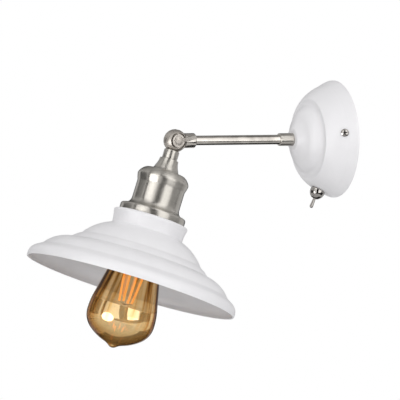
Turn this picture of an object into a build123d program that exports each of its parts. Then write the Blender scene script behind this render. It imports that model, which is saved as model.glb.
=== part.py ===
from build123d import *
import os
from math import asin, cos, radians, sin, sqrt, tan

# Wall spotlight: a stepped canopy on the wall, a swivelling arm, a ball knuckle, and a stepped bell
# shade on a cap over the lampholder. The wall is the plane Y = 0 and the arm leaves it along -Y.
# Lengths are millimetres and angles are degrees.

# Pose in which the lamp is drawn: lean of the head from straight down, and of the switch lever
HEAD_TILT = 18.8
LEVER_LEAN = 12.5

# Clearances
THREAD_CLEARANCE = 0.05
RUNNING_CLEARANCE = 0.06
FREE_CLEARANCE = 0.3
BALL_CLEARANCE = 0.4

# Canopy, from the wall to the arm
CANOPY_WALL = 1.0
CANOPY_RADIUS = 53.6
CANOPY_EDGE = 1.0
LIP_HEIGHT = 7.1
LIP_INSET = 3.4
LIP_SAG = 0.2
STEP_HEIGHT = 1.0
STEP_INSET = 0.7
BARREL_HEIGHT = 17.2
BARREL_INSET = 12.2
BARREL_SAG = 1.5
COVE_HEIGHT = 1.4
COVE_SAG = -1.0
COVE_INSET = 7.1
DOME_HEIGHT = 8.4
DOME_INSET = 10.2
DOME_SAG = 1.1
BOSS_HEIGHT = 6.0
BOSS_RADIUS = 10.2
BOSS_SAG = -0.3

# Side screws of the canopy
SCREW_INSET = 3.0
SCREW_RISE = 8.0
SCREW_RADIUS = 1.95
SCREW_LENGTH = 6.0
SCREW_HEAD_RADIUS = 3.6
SCREW_HEAD_RIM = 1.0
SCREW_HEAD_HEIGHT = 2.2
CROSS_WIDTH = 1.0
CROSS_DEPTH = 1.1
CROSS_LENGTH = 4.4

# Wall plate
PLATE_THICKNESS = 1.5
PLATE_MARGIN = 3.0
PLATE_FLAT = 28.0
CABLE_HOLE_RADIUS = 9.0
WALL_SLOT_SPACING = 60.0
WALL_SLOT_WIDTH = 4.5
WALL_SLOT_LENGTH = 10.0
EAR_WIDTH = 10.0
EAR_THICKNESS = 1.5
EAR_OVERHANG = 5.0
EAR_GAP = 0.8

# Terminal block and earth screw
BLOCK_WIDTH = 28.0
BLOCK_HEIGHT = 13.0
BLOCK_DEPTH = 14.0
BLOCK_RISE = 20.0
BLOCK_ROUND = 1.0
POLE_PITCH = 8.7
POLE_COUNT = 3
SLEEVE_DEPTH = 6.0
SLEEVE_RADIUS = 2.3
SLEEVE_BORE = 1.5
TERMINAL_SCREW_RADIUS = 1.5
TERMINAL_SCREW_SINK = 1.0
TERMINAL_SCREW_SPACING = 6.6
TERMINAL_SLOT_WIDTH = 0.6
TERMINAL_SLOT_DEPTH = 0.6
EARTH_X = 22.0
EARTH_Z = -14.0
EARTH_SCREW_RADIUS = 1.95
EARTH_HEAD_RADIUS = 3.6
EARTH_HEAD_RIM = 1.2
EARTH_HEAD_HEIGHT = 2.4

# Nipple, nut, washer and ferrule, where the arm leaves the canopy
NIPPLE_RADIUS = 4.95
NIPPLE_BORE = 3.6
NIPPLE_INSIDE = 7.0
NIPPLE_OUTSIDE = 5.0
NIPPLE_NUT_FLATS = 14.0
NIPPLE_NUT_HEIGHT = 4.0
LOCK_WASHER_RADIUS = 8.0
LOCK_WASHER_THICKNESS = 1.0
FERRULE_WALL = 0.79
FERRULE_BEARING = 5.5
FERRULE_EDGE = 0.5
SWIVEL_WASHER_THICKNESS = 0.8

# Arm tube, with the flange that turns in the ferrule
ARM_REACH = 160.3
TUBE_RADIUS = 4.4
TUBE_BORE = 3.2
FLANGE_LEDGE = 0.55
FLANGE_THICKNESS = 1.9

# Toggle switch, from the canopy's surface outwards and inwards
SWITCH_INSET = 6.5
BUSH_RADIUS = 2.95
BUSH_MOUTH = 2.5
BUSH_REACH = 6.6
SWITCH_SEAT_GAP = 0.4
SWITCH_WASHER_RADIUS = 4.6
SWITCH_WASHER_THICKNESS = 0.6
SWITCH_NUT_FLATS = 8.0
SWITCH_NUT_HEIGHT = 1.8
DOME_NUT_RADIUS = 6.8
DOME_NUT_HEIGHT = 8.2
DOME_NUT_SKIRT = 1.2
DOME_NUT_MOUTH = 3.2
DOME_NUT_SAG = 1.0
SWITCH_BODY_GAP = 0.4
SWITCH_BODY_LENGTH = 13.2
SWITCH_BODY_WIDTH = 8.0
SWITCH_BODY_DEPTH = 9.4
SWITCH_BODY_ROUND = 0.6
LUG_LENGTH = 4.5
LUG_WIDTH = 2.0
LUG_THICKNESS = 0.8
LUG_PITCH = 4.7
LEVER_PIVOT = 3.0
LEVER_BALL = 1.85
LEVER_BALL_CLEARANCE = 0.1
LEVER_TAIL = 3.5
LEVER_TAIL_RADIUS = 0.7
LEVER_ROOT_RADIUS = 1.0
LEVER_TIP_RADIUS = 1.65
LEVER_LENGTH = 15.8

# Knuckle ball, with the tilts that its cable slot allows on each side of the drawn pose
BALL_RADIUS = 10.5
BALL_FLAT_RADIUS = 4.9
POCKET_RADIUS = 7.4
TILT_DOWN = 18.8
TILT_UP = 71.2
CABLE_SLOT_WIDTH = 5.0
CABLE_SLOT_MARGIN = 14.0
CHAMBER_RADIUS = 6.2
HUB_WALL = 1.4

# Fork and pivot
FORK_RADIUS = 6.75
FORK_BASE = 8.2
FORK_EDGE = 0.6
FORK_SOCKET = 6.0
FORK_BORE = 2.6
PRONG_WIDTH = 3.6
PRONG_RISE = 9.5
PRONG_START = 4.6
PRONG_THICKNESS = 1.7
PRONG_FALL = 0.8
PRONG_RUN = 7.6
PRONG_INSET = 0.3
EYE_RADIUS = 6.0
EYE_PROUD = 0.75
EYE_THICKNESS = 2.7
PIVOT_RADIUS = 1.95
PIVOT_HEAD_RADIUS = 4.2
PIVOT_HEAD_HEIGHT = 1.4
PIVOT_HEAD_CROWN = 0.9
PIVOT_SLOT_WIDTH = 0.8
PIVOT_SLOT_DEPTH = 1.2
NUT_SLEEVE_WALL = 0.6
WASHER_THICKNESS = 0.75
WASHER_INSET = 0.4

# Neck between the ball and the cap
NECK_RADIUS = 7.0
NECK_LENGTH = 8.6
NECK_EDGE = 0.5
NECK_STUD_RADIUS = 3.5
NECK_STUD_LENGTH = 4.0
NECK_SPIGOT_RADIUS = 4.95
NECK_SPIGOT_GAP = 1.0
NECK_BORE = 2.3

# Cap over the lampholder, from its collar down to its flange
CAP_COLLAR_RADIUS = 8.6
CAP_COLLAR_FOOT_RADIUS = 10.8
CAP_COLLAR_HEIGHT = 8.0
CAP_COLLAR_SAG = -0.5
CAP_FLARE_RADIUS = 17.2
CAP_FLARE_HEIGHT = 3.6
CAP_FLARE_SAG = -2.0
CAP_SHOULDER_RADIUS = 24.0
CAP_SHOULDER_HEIGHT = 7.3
CAP_SHOULDER_SAG = 1.0
CAP_BODY_RADIUS = 22.3
CAP_ROLL_HEIGHT = 6.6
CAP_ROLL_SAG = 0.2
CAP_BODY_HEIGHT = 16.3
CAP_FOOT_RADIUS = 28.0
CAP_FOOT_HEIGHT = 7.0
CAP_FOOT_SAG = -1.8
CAP_FLANGE_RADIUS = 30.6
CAP_FLANGE_HEIGHT = 7.1
CAP_FLANGE_ROUND = 2.2
CAP_WALL = 1.2
CAP_CROWN = 1.6
CAP_NUT_FLATS = 14.0
CAP_NUT_HEIGHT = 4.0

# Shade, from its flat top down to its rim
SHADE_WALL = 1.2
SHADE_HOLE_CLEARANCE = 0.6
COLLAR_RADIUS = 34.8
COLLAR_ROUND = 2.0
WAIST_RADIUS = 33.1
COLLAR_HEIGHT = 13.7
COLLAR_SAG = -0.4
BELL_RADIUS = 56.6
BELL_HEIGHT = 17.5
BELL_SAG = 2.3
BELL_STEP_RADIUS = 65.6
BELL_STEP_HEIGHT = 7.0
BELL_STEP_SAG = 0.5
SKIRT_RADIUS = 87.8
SKIRT_HEIGHT = 12.7
SKIRT_SAG = 2.9
SKIRT_STEP_RADIUS = 92.2
SKIRT_STEP_HEIGHT = 2.6
RIM_RADIUS = 98.0
RIM_HEIGHT = 11.7
RIM_SAG = 2.4

# Lampholder and the ring that holds the shade
HOLDER_CLEARANCE = 1.2
HOLDER_GAP = 2.8
HOLDER_HEAD = 16.0
HOLDER_SOCKET = 4.0
HOLDER_SKIRT = 1.8
SHELL_WALL = 0.6
SHELL_FLOOR = 0.8
SHELL_HOLE = 6.0
CONTACT_RADIUS = 3.0
RING_GAP = 2.4
RING_FLANGE = 2.0
RING_WALL = 3.4
RING_HEIGHT = 6.0

# Bulb: contact, insulator, screw cap, glass, stem and filaments
BULB_SEAT = 4.8
BULB_CONTACT_RADIUS = 4.5
BULB_CONTACT_HEIGHT = 0.8
BULB_INSULATOR_HEIGHT = 2.6
BULB_INSULATOR_RADIUS = 9.5
BULB_CAP_RADIUS = 13.2
BULB_CAP_WALL = 0.5
BULB_CAP_LENGTH = 24.0
BULB_THREAD_PITCH = 3.6
BULB_THREAD_DEPTH = 0.8
GLASS_WALL = 0.8
GLASS_NECK_OVERLAP = 6.0
GLASS_SHOULDER_RADIUS = 16.6
GLASS_SHOULDER_HEIGHT = 7.0
GLASS_CONE_RADIUS = 30.0
GLASS_CONE_HEIGHT = 61.0
GLASS_RADIUS = 31.5
GLASS_BELLY_HEIGHT = 14.6
GLASS_BELLY_SAG = 0.4
GLASS_CHEEK_RADIUS = 24.5
GLASS_CHEEK_HEIGHT = 15.3
GLASS_CHEEK_SAG = 1.83
GLASS_CROWN_RADIUS = 9.0
GLASS_CROWN_HEIGHT = 8.7
GLASS_CROWN_SAG = 0.9
GLASS_TIP_RADIUS = 3.4
GLASS_TIP_HEIGHT = 3.1
GLASS_TIP_SAG = -0.3
GLASS_END_HEIGHT = 1.2
GLASS_SEAL_DEPTH = 1.5
STEM_RADIUS = 5.0
STEM_LENGTH = 30.0
STEM_TIP_RADIUS = 1.6
STEM_TIP_LENGTH = 14.0
FILAMENT_COUNT = 4
FILAMENT_TURN = 45.0
FILAMENT_RADIUS = 1.0
FILAMENT_LENGTH = 39.0
FILAMENT_TOP_RING = 11.0
FILAMENT_FOOT_RING = 6.2
FILAMENT_DROP = 5.0
FILAMENT_WIRE_RADIUS = 0.3
FILAMENT_WIRE_GAP = 0.4
FILAMENT_ROOT_DROP = 1.0
FILAMENT_HUB_DROP = 2.5

# Inside wiring
WIRE_RADIUS = 0.9
WIRE_GAP = 0.5
WIRE_BEND = 3.0
WIRE_GRIP = 4.0
WIRE_LEAD = 5.0

# Sag of a quarter circle, as a share of its radius
QUARTER_SAG = 1 - cos(radians(45))


# Shared shapes: a half section lies in the plane that is turned about the local Z axis


def at(radius, height):
    """Point of a half section."""
    return Vector(radius, 0, height)


def left(direction):
    """Direction square to another one, on its left in the half section."""
    return Vector(-direction.Z, 0, direction.X)


def arc(start, end, sag):
    """Arc that stands sag to the right of its chord, or a line where sag is 0."""
    if sag == 0:
        return Line(start, end)
    middle = (start + end) / 2 - left((end - start).normalized()) * sag
    return ThreePointArc(start, middle, end)


def dome(radius, base, top):
    """Arc centred on the axis, from a rim at base to the axis at top."""
    rise = top - base
    ball = (radius ** 2 + rise ** 2) / (2 * rise)
    half_angle = asin(radius / ball) / 2
    middle = at(ball * sin(half_angle), top - ball * (1 - cos(half_angle)))
    return ThreePointArc(at(radius, base), middle, at(0, top))


def chain(*stops):
    """Edges through (radius, height, sag) stops, where each sag shapes the edge to the next stop."""
    edges = []
    for (radius, height, sag), (next_radius, next_height, _) in zip(stops, stops[1:]):
        edges.append(arc(at(radius, height), at(next_radius, next_height), sag))
    return edges


def turned(edges):
    """Solid turned about the local Z axis from the closed edges of its half section."""
    return revolve(Face(Wire(edges)), Axis.Z, 360)


def turned_corners(*corners):
    """Solid turned from a half section with straight sides between (radius, height) corners."""
    stops = [(*corner, 0) for corner in corners]
    return turned(chain(*stops, stops[0]))


def inset(edge, start, end, wall):
    """Edge of the same kind, moved to the left by a wall, between new ends."""
    if edge.geom_type == GeomType.LINE:
        return Line(start, end)
    middle = edge @ 0.5 + left(edge % 0.5) * wall
    if edge.geom_type == GeomType.CIRCLE:
        return ThreePointArc(start, middle, end)
    return Spline(start, middle, end, tangents=[edge % 0, edge % 1])


def shell(outside, wall):
    """Turned sheet of one thickness, whose wall lies on the left of its outside edges."""
    starts = [left(edge % 0) for edge in outside]
    ends = [left(edge % 1) for edge in outside]
    corners = [edge @ 0 for edge in outside] + [outside[-1] @ 1]
    inner = []
    for corner, before, after in zip(corners, starts[:1] + ends, starts + ends[-1:]):
        inner.append(corner + (before + after) * (wall / (1 + before.dot(after))))
    inside = [inset(edge, start, end, wall) for edge, start, end in zip(outside, inner, inner[1:])]
    return turned(outside + inside + [Line(corners[0], inner[0]), Line(corners[-1], inner[-1])])


def tube(outer, inner, start, end):
    return turned_corners((inner, start), (outer, start), (outer, end), (inner, end))


def rod(radius, start, end):
    return turned_corners((0, start), (radius, start), (radius, end), (0, end))


def straight(radius, start, end):
    """Round bar between two points."""
    way = Vector(*end) - Vector(*start)
    return Plane(origin=start, z_dir=way).location * rod(radius, 0, way.length)


def hexagon(flats, start, end):
    across_corners = flats / 2 / cos(radians(30))
    return extrude(Plane.XY.offset(start) * RegularPolygon(across_corners, 6), end - start)


def block(x_range, y_range, z_range):
    """Box between two values on each axis."""
    size = [high - low for low, high in (x_range, y_range, z_range)]
    middle = [(high + low) / 2 for low, high in (x_range, y_range, z_range)]
    return Pos(*middle) * Box(*size)


def centred(width):
    """Range of a width that is centred on zero."""
    return (-width / 2, width / 2)


def wire(*points):
    """Insulated wire along straight runs joined by tangent bends."""
    path = FilletPolyline(*points, radius=WIRE_BEND)
    return sweep(Plane(origin=path @ 0, z_dir=path % 0) * Circle(WIRE_RADIUS), path)


def pan_head_screw(head_radius, head_rim, head_height, shank_radius, shank_length):
    """Cross-slot screw whose head stands on Z = 0, with its shank below."""
    sides = chain((0, head_rim, 0), (0, 0, 0), (head_radius, 0, 0), (head_radius, head_rim, 0))
    crown = [dome(head_radius, head_rim, head_height), Line(at(0, head_height), at(0, head_rim))]
    screw = turned(sides + crown)
    screw += rod(shank_radius, -shank_length, 0)
    for bar in ((CROSS_LENGTH, CROSS_WIDTH), (CROSS_WIDTH, CROSS_LENGTH)):
        screw -= Pos(0, 0, head_height) * Box(*bar, 2 * CROSS_DEPTH)
    return screw


# Frames: each has its own Z axis along the axis of its pieces, and X along the wall

wall_frame = Plane(origin=(0, 0, 0), x_dir=(1, 0, 0), z_dir=(0, -1, 0))
ball_centre = (0, -ARM_REACH, 0)
tilt = radians(HEAD_TILT)
head_frame = Plane(origin=ball_centre, x_dir=(1, 0, 0), z_dir=(0, -sin(tilt), -cos(tilt)))
knuckle_frame = Plane(origin=ball_centre, x_dir=(0, 1, 0), z_dir=(1, 0, 0))

lip_top = CANOPY_EDGE + LIP_HEIGHT
barrel_base = lip_top + STEP_HEIGHT
barrel_top = barrel_base + BARREL_HEIGHT
dome_base = barrel_top + COVE_HEIGHT
dome_top = dome_base + DOME_HEIGHT
canopy_depth = dome_top + BOSS_HEIGHT
lip_radius = CANOPY_RADIUS - LIP_INSET
barrel_base_radius = lip_radius - STEP_INSET
barrel_top_radius = barrel_base_radius - BARREL_INSET
dome_base_radius = barrel_top_radius - COVE_INSET
dome_top_radius = dome_base_radius - DOME_INSET
barrel = arc(at(barrel_base_radius, barrel_base), at(barrel_top_radius, barrel_top), BARREL_SAG)


def barrel_point(depth):
    """Radius of the barrel's outside at a depth, and the lean of its normal towards the arm."""
    lean = asin((depth - barrel.arc_center.Z) / barrel.radius)
    return barrel.arc_center.X + barrel.radius * cos(lean), lean


def barrel_frame(depth, angle):
    """Frame on the outside of the barrel, its Z axis square to the sheet and its X axis round it."""
    radius, lean = barrel_point(depth)
    around = radians(angle)
    place = (radius * cos(around), -depth, radius * sin(around))
    outward = (cos(lean) * cos(around), -sin(lean), cos(lean) * sin(around))
    return Plane(origin=place, x_dir=(-sin(around), 0, cos(around)), z_dir=outward)


screw_depth = barrel_base + SCREW_INSET
screw_angles = (SCREW_RISE, 180 - SCREW_RISE)
screw_frames = [barrel_frame(screw_depth, angle) for angle in screw_angles]
switch_frame = barrel_frame(barrel_base + SWITCH_INSET, -90)

parts = {}


def add(name, shape, frame=Plane.XY):
    """Put a piece into its place and keep it under its name."""
    solids = shape if isinstance(shape, list) else [shape]
    placed = [frame.location * solid for solid in solids]
    parts[name] = placed[0] if len(placed) == 1 else Compound(children=placed)


# Canopy

screw_hole = SCREW_RADIUS + THREAD_CLEARANCE
bush_hole = BUSH_RADIUS + THREAD_CLEARANCE
thread_bore = NIPPLE_RADIUS + THREAD_CLEARANCE
canopy_outside = chain(
    (CANOPY_RADIUS, 0, 0),
    (CANOPY_RADIUS, CANOPY_EDGE, LIP_SAG),
    (lip_radius, lip_top, 0),
    (barrel_base_radius, barrel_base, BARREL_SAG),
    (barrel_top_radius, barrel_top, COVE_SAG),
    (dome_base_radius, dome_base, DOME_SAG),
    (dome_top_radius, dome_top, BOSS_SAG),
    (BOSS_RADIUS, canopy_depth, 0),
    (thread_bore, canopy_depth, 0),
)
canopy = wall_frame.location * shell(canopy_outside, CANOPY_WALL)
for frame in screw_frames:
    canopy -= frame.location * rod(screw_hole, -2 * CANOPY_WALL, CANOPY_WALL)
canopy -= switch_frame.location * rod(bush_hole, -2 * CANOPY_WALL, CANOPY_WALL)
add("canopy", canopy)

canopy_screw = pan_head_screw(
    SCREW_HEAD_RADIUS, SCREW_HEAD_RIM, SCREW_HEAD_HEIGHT, SCREW_RADIUS, SCREW_LENGTH
)
add("canopy_screws", [frame.location * canopy_screw for frame in screw_frames])

# Wall plate, with an ear that leans along the canopy under each of its screws

plate_radius = (WALL_SLOT_SPACING + WALL_SLOT_LENGTH) / 2 + PLATE_MARGIN
plate = rod(plate_radius, 0, PLATE_THICKNESS)
plate &= block(centred(2 * plate_radius), (-PLATE_FLAT, plate_radius), (0, PLATE_THICKNESS))
plate = wall_frame.location * plate
screw_place, ear_lean = barrel_point(screw_depth)
ear_inwards = CANOPY_WALL + EAR_GAP


def ear_face(inwards, height):
    """Radius of the plane that lies inwards of the barrel at the screw, at a height over the wall."""
    return screw_place - inwards / cos(ear_lean) - (height - screw_depth) * tan(ear_lean)


ear_top = screw_depth + EAR_OVERHANG
ear_back = ear_inwards + EAR_THICKNESS
ear_outline = Polygon(
    (0, 0),
    (ear_face(ear_inwards, 0), 0),
    (ear_face(ear_inwards, ear_top), ear_top),
    (ear_face(ear_back, ear_top), ear_top),
    (ear_face(ear_back, PLATE_THICKNESS), PLATE_THICKNESS),
    (0, PLATE_THICKNESS),
)
ear = extrude(ear_outline, EAR_WIDTH / 2, both=True)
for angle in screw_angles:
    around = radians(angle)
    ear_frame = Plane(
        origin=(0, 0, 0), x_dir=(cos(around), 0, sin(around)), z_dir=(sin(around), 0, -cos(around))
    )
    plate += ear_frame.location * ear
for frame in screw_frames:
    plate -= frame.location * rod(screw_hole, -SCREW_LENGTH, 0)
plate -= wall_frame.location * rod(CABLE_HOLE_RADIUS, 0, PLATE_THICKNESS)
for side in (-1, 1):
    wall_slot = extrude(SlotOverall(WALL_SLOT_LENGTH, WALL_SLOT_WIDTH), PLATE_THICKNESS)
    plate -= wall_frame.location * Pos(side * WALL_SLOT_SPACING / 2, 0, 0) * wall_slot
earth_hole = rod(EARTH_SCREW_RADIUS + THREAD_CLEARANCE, 0, PLATE_THICKNESS)
plate -= wall_frame.location * Pos(EARTH_X, EARTH_Z, 0) * earth_hole
add("wall_plate", plate)

earth_screw = pan_head_screw(
    EARTH_HEAD_RADIUS, EARTH_HEAD_RIM, EARTH_HEAD_HEIGHT, EARTH_SCREW_RADIUS, PLATE_THICKNESS
)
add("earth_screw", Pos(EARTH_X, EARTH_Z, PLATE_THICKNESS) * earth_screw, wall_frame)

# Terminal block on the plate

pole_xs = [(index - (POLE_COUNT - 1) / 2) * POLE_PITCH for index in range(POLE_COUNT)]
block_top = PLATE_THICKNESS + BLOCK_DEPTH
sleeve_height = PLATE_THICKNESS + SLEEVE_DEPTH
block_low = BLOCK_RISE - BLOCK_HEIGHT / 2
block_high = BLOCK_RISE + BLOCK_HEIGHT / 2
screw_top = block_top - TERMINAL_SCREW_SINK
screw_low = sleeve_height + SLEEVE_RADIUS + THREAD_CLEARANCE
terminal_block = block(centred(BLOCK_WIDTH), (block_low, block_high), (PLATE_THICKNESS, block_top))
terminal_block = fillet(terminal_block.edges().filter_by(Axis.Z), BLOCK_ROUND)
terminal_well = rod(TERMINAL_SCREW_RADIUS + THREAD_CLEARANCE, sleeve_height, block_top)
terminal_screw = rod(TERMINAL_SCREW_RADIUS, screw_low, screw_top)
terminal_screw -= Pos(0, 0, screw_top) * Box(
    2 * TERMINAL_SCREW_RADIUS, TERMINAL_SLOT_WIDTH, 2 * TERMINAL_SLOT_DEPTH
)
sleeves = []
terminal_screws = []
for x in pole_xs:
    bore_place = Plane(origin=(x, block_low, sleeve_height), x_dir=(1, 0, 0), z_dir=(0, 1, 0)).location
    terminal_block -= bore_place * rod(SLEEVE_RADIUS + THREAD_CLEARANCE, 0, BLOCK_HEIGHT)
    sleeves.append(bore_place * tube(SLEEVE_RADIUS, SLEEVE_BORE, 0, BLOCK_HEIGHT))
    for side in (-1, 1):
        screw_spot = Pos(x, BLOCK_RISE + side * TERMINAL_SCREW_SPACING / 2, 0)
        terminal_block -= screw_spot * terminal_well
        terminal_screws.append(screw_spot * terminal_screw)
add("terminal_block", terminal_block, wall_frame)
add("terminal_sleeves", sleeves, wall_frame)
add("terminal_screws", terminal_screws, wall_frame)

# Nipple, nut and washer that clamp the ferrule to the canopy

canopy_inside = canopy_depth - CANOPY_WALL
nut_top = canopy_inside - LOCK_WASHER_THICKNESS
nut_low = nut_top - NIPPLE_NUT_HEIGHT
nipple_start = canopy_inside - NIPPLE_INSIDE
nipple_end = canopy_depth + NIPPLE_OUTSIDE
washer_end = nipple_end + SWIVEL_WASHER_THICKNESS
flange_start = washer_end + FREE_CLEARANCE
flange_end = flange_start + FLANGE_THICKNESS
bearing_start = flange_end + FREE_CLEARANCE
ferrule_end = bearing_start + FERRULE_BEARING
flange_radius = TUBE_RADIUS + FLANGE_LEDGE
flange_room = flange_radius + RUNNING_CLEARANCE
ferrule_radius = max(flange_room, thread_bore) + FERRULE_WALL
tube_hole = TUBE_RADIUS + RUNNING_CLEARANCE
add("nipple", tube(NIPPLE_RADIUS, NIPPLE_BORE, nipple_start, nipple_end), wall_frame)
add("lock_washer", tube(LOCK_WASHER_RADIUS, thread_bore, nut_top, canopy_inside), wall_frame)
nipple_nut = hexagon(NIPPLE_NUT_FLATS, nut_low, nut_top) - rod(thread_bore, nut_low, nut_top)
add("nipple_nut", nipple_nut, wall_frame)
ferrule = turned_corners(
    (thread_bore, canopy_depth),
    (ferrule_radius, canopy_depth),
    (ferrule_radius, ferrule_end - FERRULE_EDGE),
    (ferrule_radius - FERRULE_EDGE, ferrule_end),
    (tube_hole, ferrule_end),
    (tube_hole, bearing_start),
    (flange_room, bearing_start),
    (flange_room, nipple_end),
    (thread_bore, nipple_end),
)
add("ferrule", ferrule, wall_frame)
add("swivel_washer", tube(flange_radius, NIPPLE_BORE, nipple_end, washer_end), wall_frame)

# Arm tube, whose flange turns in the ferrule and whose far end is fixed in the fork

fork_length = BALL_RADIUS + BALL_CLEARANCE + FORK_BASE
tube_end = ARM_REACH - fork_length + FORK_SOCKET
arm_tube = turned_corners(
    (TUBE_BORE, flange_start),
    (flange_radius, flange_start),
    (flange_radius, flange_end),
    (TUBE_RADIUS, flange_end),
    (TUBE_RADIUS, tube_end),
    (TUBE_BORE, tube_end),
)
add("arm_tube", arm_tube, wall_frame)

# Toggle switch, on an axis square to the barrel

bush_bore = LEVER_BALL + LEVER_BALL_CLEARANCE
switch_washer_top = -CANOPY_WALL - SWITCH_SEAT_GAP
switch_nut_top = switch_washer_top - SWITCH_WASHER_THICKNESS
switch_nut_low = switch_nut_top - SWITCH_NUT_HEIGHT
body_top = switch_nut_low - SWITCH_BODY_GAP
body_low = body_top - SWITCH_BODY_DEPTH
bush = turned_corners(
    (bush_bore, body_top),
    (BUSH_RADIUS, body_top),
    (BUSH_RADIUS, BUSH_REACH),
    (BUSH_MOUTH, BUSH_REACH),
    (bush_bore, LEVER_PIVOT),
)
add("switch_bush", bush, switch_frame)
switch_washer = tube(SWITCH_WASHER_RADIUS, bush_hole, switch_nut_top, switch_washer_top)
add("switch_washer", switch_washer, switch_frame)
switch_nut = hexagon(SWITCH_NUT_FLATS, switch_nut_low, switch_nut_top)
switch_nut -= rod(bush_hole, switch_nut_low, switch_nut_top)
add("switch_nut", switch_nut, switch_frame)
dome_nut = turned(chain(
    (bush_hole, 0, 0),
    (DOME_NUT_RADIUS, 0, 0),
    (DOME_NUT_RADIUS, DOME_NUT_SKIRT, DOME_NUT_SAG),
    (DOME_NUT_MOUTH, DOME_NUT_HEIGHT, 0),
    (bush_hole, DOME_NUT_HEIGHT, 0),
    (bush_hole, 0, 0),
))
add("switch_dome_nut", dome_nut, switch_frame)
switch_body = block(centred(SWITCH_BODY_LENGTH), centred(SWITCH_BODY_WIDTH), (body_low, body_top))
switch_body = fillet(switch_body.edges().filter_by(Axis.Z), SWITCH_BODY_ROUND)
add("switch_body", switch_body, switch_frame)
lug = block(centred(LUG_THICKNESS), centred(LUG_WIDTH), (body_low - LUG_LENGTH, body_low))
lug_xs = (0, LUG_PITCH)
add("switch_lugs", [Pos(x, 0, 0) * lug for x in lug_xs], switch_frame)
lever_tip = LEVER_LENGTH - LEVER_TIP_RADIUS
lever = turned(chain(
    (0, -LEVER_TAIL, 0),
    (LEVER_TAIL_RADIUS, -LEVER_TAIL, 0),
    (LEVER_ROOT_RADIUS, 0, 0),
    (LEVER_TIP_RADIUS, lever_tip, LEVER_TIP_RADIUS * QUARTER_SAG),
    (0, LEVER_LENGTH, 0),
    (0, -LEVER_TAIL, 0),
))
lever += Sphere(LEVER_BALL)
add("switch_lever", Pos(0, 0, LEVER_PIVOT) * Rot(0, LEVER_LEAN, 0) * lever, switch_frame)

# Fork: a socket on the tube and a prong over each side of the ball, ending in an eye in its pocket

room_radius = BALL_RADIUS + BALL_CLEARANCE
eye_face = sqrt(BALL_RADIUS ** 2 - POCKET_RADIUS ** 2) + EYE_PROUD
eye_back = eye_face - EYE_THICKNESS
head_seat = eye_face - PIVOT_HEAD_HEIGHT
prong_top = sqrt(room_radius ** 2 - POCKET_RADIUS ** 2) + PRONG_THICKNESS
prong_foot = BALL_RADIUS + PRONG_RUN
pivot_hole = PIVOT_RADIUS + THREAD_CLEARANCE
sleeve_radius = PIVOT_RADIUS + THREAD_CLEARANCE + NUT_SLEEVE_WALL
ball_room = Sphere(room_radius)
for start, end in ((eye_back, room_radius), (-room_radius, -eye_back)):
    ball_room -= rod(POCKET_RADIUS - FREE_CLEARANCE, start, end)
prong_outline = Polygon(
    (0, 0),
    (0, eye_face),
    (PRONG_START, eye_face),
    (POCKET_RADIUS, prong_top),
    (BALL_RADIUS, prong_top - PRONG_FALL),
    (prong_foot, FORK_RADIUS - PRONG_INSET),
    (prong_foot, 0),
)
prong = Rot(0, 0, PRONG_RISE) * extrude(Plane.XZ * prong_outline, PRONG_WIDTH / 2, both=True)
prong += rod(EYE_RADIUS, 0, eye_face)
prong -= rod(PIVOT_HEAD_RADIUS + THREAD_CLEARANCE, head_seat, eye_face)
fork_axis = Plane(origin=(0, 0, 0), x_dir=(0, 0, 1), z_dir=(1, 0, 0)).location
fork = fork_axis * rod(FORK_RADIUS, 0, fork_length)
fork = chamfer(fork.edges().sort_by(Axis.X)[-1], FORK_EDGE)
fork = fork + prong + mirror(prong, Plane.XY) - ball_room
fork -= fork_axis * rod(TUBE_RADIUS + THREAD_CLEARANCE, fork_length - FORK_SOCKET, fork_length)
fork -= fork_axis * rod(FORK_BORE, 0, fork_length)
fork -= rod(pivot_hole, 0, eye_face)
fork -= rod(sleeve_radius + THREAD_CLEARANCE, -eye_face, 0)
add("fork", fork, knuckle_frame)

washer_back = eye_back - WASHER_THICKNESS
washer = tube(EYE_RADIUS - WASHER_INSET, sleeve_radius + FREE_CLEARANCE, washer_back, eye_back)
add("friction_washers", [washer, mirror(washer, Plane.XY)], knuckle_frame)
head_crown = eye_face + PIVOT_HEAD_CROWN
head_sides = chain((0, head_crown, 0), (0, head_seat, 0), (PIVOT_HEAD_RADIUS, head_seat, 0),
                   (PIVOT_HEAD_RADIUS, eye_face, 0))
pivot_head = turned([dome(PIVOT_HEAD_RADIUS, eye_face, head_crown), *head_sides])
pivot_slot = Box(2 * PIVOT_HEAD_RADIUS, PIVOT_SLOT_WIDTH, 2 * PIVOT_SLOT_DEPTH)
pivot_head -= Pos(0, 0, head_crown) * pivot_slot
add("pivot_screw", pivot_head + rod(PIVOT_RADIUS, -head_seat, head_seat), knuckle_frame)
pivot_nut = mirror(pivot_head, Plane.XY) + rod(sleeve_radius, -head_seat, -eye_back)
pivot_nut -= rod(pivot_hole, -head_seat, 0)
add("pivot_nut", pivot_nut, knuckle_frame)

# Knuckle ball, with a pocket on each side and a slot that lets the wires follow the tilt

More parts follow.
